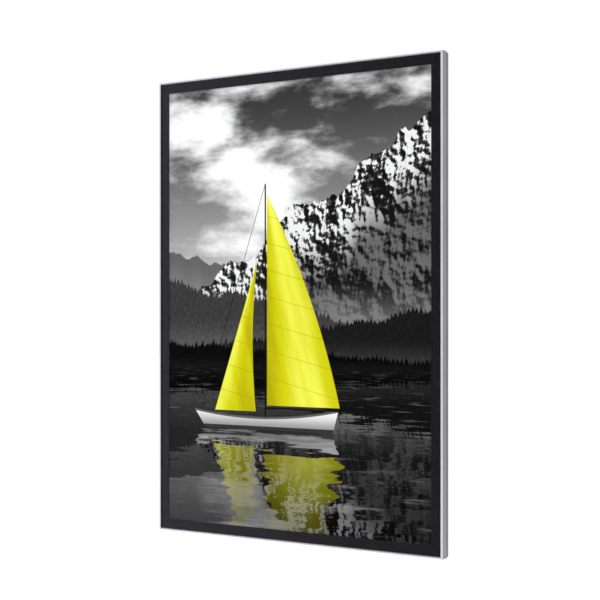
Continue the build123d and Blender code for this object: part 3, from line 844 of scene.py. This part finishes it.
def sailcloth(picture, across, up, light):
    """Yellow cloth in narrow panels, with folds."""
    seam = abs(((up + across * PANEL_SLOPE) / PANEL_HEIGHT).off_middle()).rise(*PANEL_SEAM)
    where = picture.point(across * FOLDS_ACROSS + up * FOLDS_LEAN, up * FOLDS_UP)
    folds = picture.noise(where, FOLD_DETAIL, dimensions="2D") - NOISE_MIDDLE
    light = light + folds * FOLD_SHADE
    yellow = picture.mix(light.rise(*CLOTH_LIT), YELLOW_SHADE, YELLOW_CLOTH)
    yellow = picture.mix(light.rise(*CLOTH_SUNLIT), yellow, YELLOW_SUN)
    return picture.mix(seam * PANEL_SEAM_SHARE, yellow, YELLOW_SEAM)


def hull_and_side(across, up):
    """The hull's mask and its tones, with a dark line at the water and another under the deck."""
    from_lowest = across + SHEER_LOW_AHEAD
    sheer = SHEER_LOW + from_lowest * from_lowest * SHEER_CURVE
    hull = inside(sheer - up) * inside(across - BOW - (BOW_HEIGHT - up) * BOW_RAKE)
    hull = hull * inside(STERN + up * STERN_RAKE - across)
    side = over(inside(BOOT_TOP - up), BOOT_TONE, up.rise(*HULL_HEIGHTS, *HULL_TONES))
    return sheer, hull, over(inside(up - sheer + GUNWALE), GUNWALE_TONE, side)


def spars(across, up, sheer):
    """A mask of the mast, the boom and the stay from the masthead to the bow."""
    mast = inside(MAST_HALF_WIDTH - abs(across)) * inside(MAST_TOP - up) * inside(up - sheer)
    boom = inside(MAST_HALF_WIDTH - abs(up - SAIL_FOOT + BOOM_DROP)) * inside(across)
    boom = boom * inside(MAINSAIL_FOOT_LENGTH + BOOM_END - across)
    stay = inside(STAY_HALF_WIDTH - abs(across - (up / MAST_TOP - 1) * -BOW * STAY_REACH))
    stay = stay * inside(MAST_TOP - up) * inside(up - STAY_FOOT)
    return mast.at_least(boom).at_least(stay)


def boat(picture, across, up, behind):
    """The boat in front of what is behind it, with its mast's foot at zero."""
    sheer, hull, side = hull_and_side(across, up)
    main_mask, main_light = mainsail(across, up)
    jib_mask, jib_light = jib(across, up)
    cloth = sailcloth(picture, across, up, over(jib_mask, jib_light, main_light))
    colour = picture.mix(main_mask.at_least(jib_mask), picture.mix(hull, behind, side), cloth)
    return picture.mix(spars(across, up, sheer), colour, SPAR_TONE)


def lake_and_boat():
    """The print on the sheet's front. The water mirrors what stands above it, broken up by ripples."""
    picture = Finish("poster_print", MATT_PAPER)
    x, z = picture.place("X"), picture.place("Z")
    depth = (SHORE_HEIGHT - z).at_least(0)
    water = inside(SHORE_HEIGHT - z)
    row = (depth + RIPPLE_ROW_START).log2() * RIPPLE_ROWS
    where = picture.point(x / (depth + RIPPLE_LENGTH_START) * RIPPLE_LENGTH, row)
    ripples = picture.noise(where, RIPPLE_DETAIL, RIPPLE_ROUGHNESS, "2D") - NOISE_MIDDLE
    wet = ripples * water * depth.rise(0, CALM_DEPTH, CALM, 1)
    height = (abs(z - SHORE_HEIGHT) + wet * HILLS_SWAY_UP).at_least(0)
    level = mountains(picture, x + wet * HILLS_SWAY_ACROSS, height)
    dimmed = level * depth.rise(0, MIRROR_DEPTH, *MIRROR_TONES) + ripples.rise(*GLINT) * GLINT_TONE
    level = over(water, dimmed, level)

    above = z - WATERLINE
    mirrored = inside(0 - above)
    sway = ripples * mirrored
    across = x - MAST_ACROSS + sway * abs(above).rise(0, BOAT_SWAY_DEPTH, *BOAT_SWAY_ACROSS)
    colour = boat(picture, across, abs(above) + sway * BOAT_SWAY_UP, level)
    colour = picture.mix(mirrored * BOAT_DIMMED, colour, DEEP_WATER)
    colour = picture.mix(mirrored * abs(above).rise(*BOAT_FADE_DEPTHS, *BOAT_FADE), colour, level)

    colour = picture.scaled(colour, SPECKLE_LOW + SPECKLE.drawn(picture, x, z) * SPECKLE_RANGE)
    printed = picture.facing("Y").rise(-FACING, -NEARLY_FACING, 1, 0)
    return picture.feed(
        Base_Color=picture.mix(printed, PAPER_BACK, picture.scaled(colour, PAPER_BASE)),
        Emission_Color=picture.scaled(colour, printed * PAPER_GLOW),
    )


FINISHES = {
    "rail_aluminium": satin_aluminium("rail_aluminium_upright", along="z"),
    "key_steel": zinc_plate("key_steel", crystal=0.0016),
    "screw_steel": bright_metal("screw_steel", (0.66, 0.66, 0.67), roughness=0.27),
    "strip_steel": bright_metal("strip_steel", (0.56, 0.565, 0.58), roughness=0.38, mark=0.0008),
    "hanger_steel": zinc_plate("hanger_steel", crystal=0.0032),
    "rivet_aluminium": bright_metal("rivet_aluminium", (0.78, 0.78, 0.79), roughness=0.32),
    "panel_board": faced_board(),
    "reflector_film": reflector_film(),
    "guide_acrylic": dotted_guide(),
    "diffuser_plastic": opal_diffuser(),
    "pad_rubber": rubber("pad_rubber", (0.022, 0.022, 0.023), pore=0.0006, depth=0.0003),
    "board_white": lamp_board(),
    "chip_phosphor": lamp_chip(),
    "connector_plastic": moulded_plastic("connector_plastic", (0.74, 0.72, 0.64), roughness=0.42),
    "lead_jacket": moulded_plastic("lead_jacket", (0.014, 0.014, 0.015), roughness=0.38),
    "clip_nylon": moulded_plastic("clip_nylon", (0.72, 0.71, 0.67), roughness=0.45),
    "inlet_plastic": moulded_plastic("inlet_plastic", (0.012, 0.012, 0.013), roughness=0.42),
    "contact_metal": bright_metal("contact_metal", (0.80, 0.70, 0.42), roughness=0.20),
    "magnet_rubber": rubber("magnet_rubber", (0.030, 0.027, 0.024), pore=0.0004, depth=0.00006),
    "gasket_rubber": rubber("gasket_rubber", (0.013, 0.013, 0.014), pore=0.0005, depth=0.0002),
    "cover_acrylic": clear_acrylic(),
    "border_print": border_ink(),
    "poster_print": lake_and_boat(),
}
for part in frame["record"]["subparts"]:
    frame["nodes"][part["node"]].material_slots[0].material = FINISHES[part["material_slot"]]
level_aluminium = satin_aluminium("rail_aluminium_level", along="x")
for rail in ("rail_top", "rail_bottom"):
    frame["nodes"][rail].material_slots[0].material = level_aluminium

make_camera()
make_world()
make_floor()
for name, card in CARDS.items():
    make_card(name, card)
make_sun("key_sun", KEY_LIGHT, KEY_SPREAD, KEY_TOWARDS)
make_sun("back_sun", BACK_LIGHT, BACK_SPREAD, BACK_TOWARDS)
bpy.context.scene.view_settings.view_transform = "Standard"
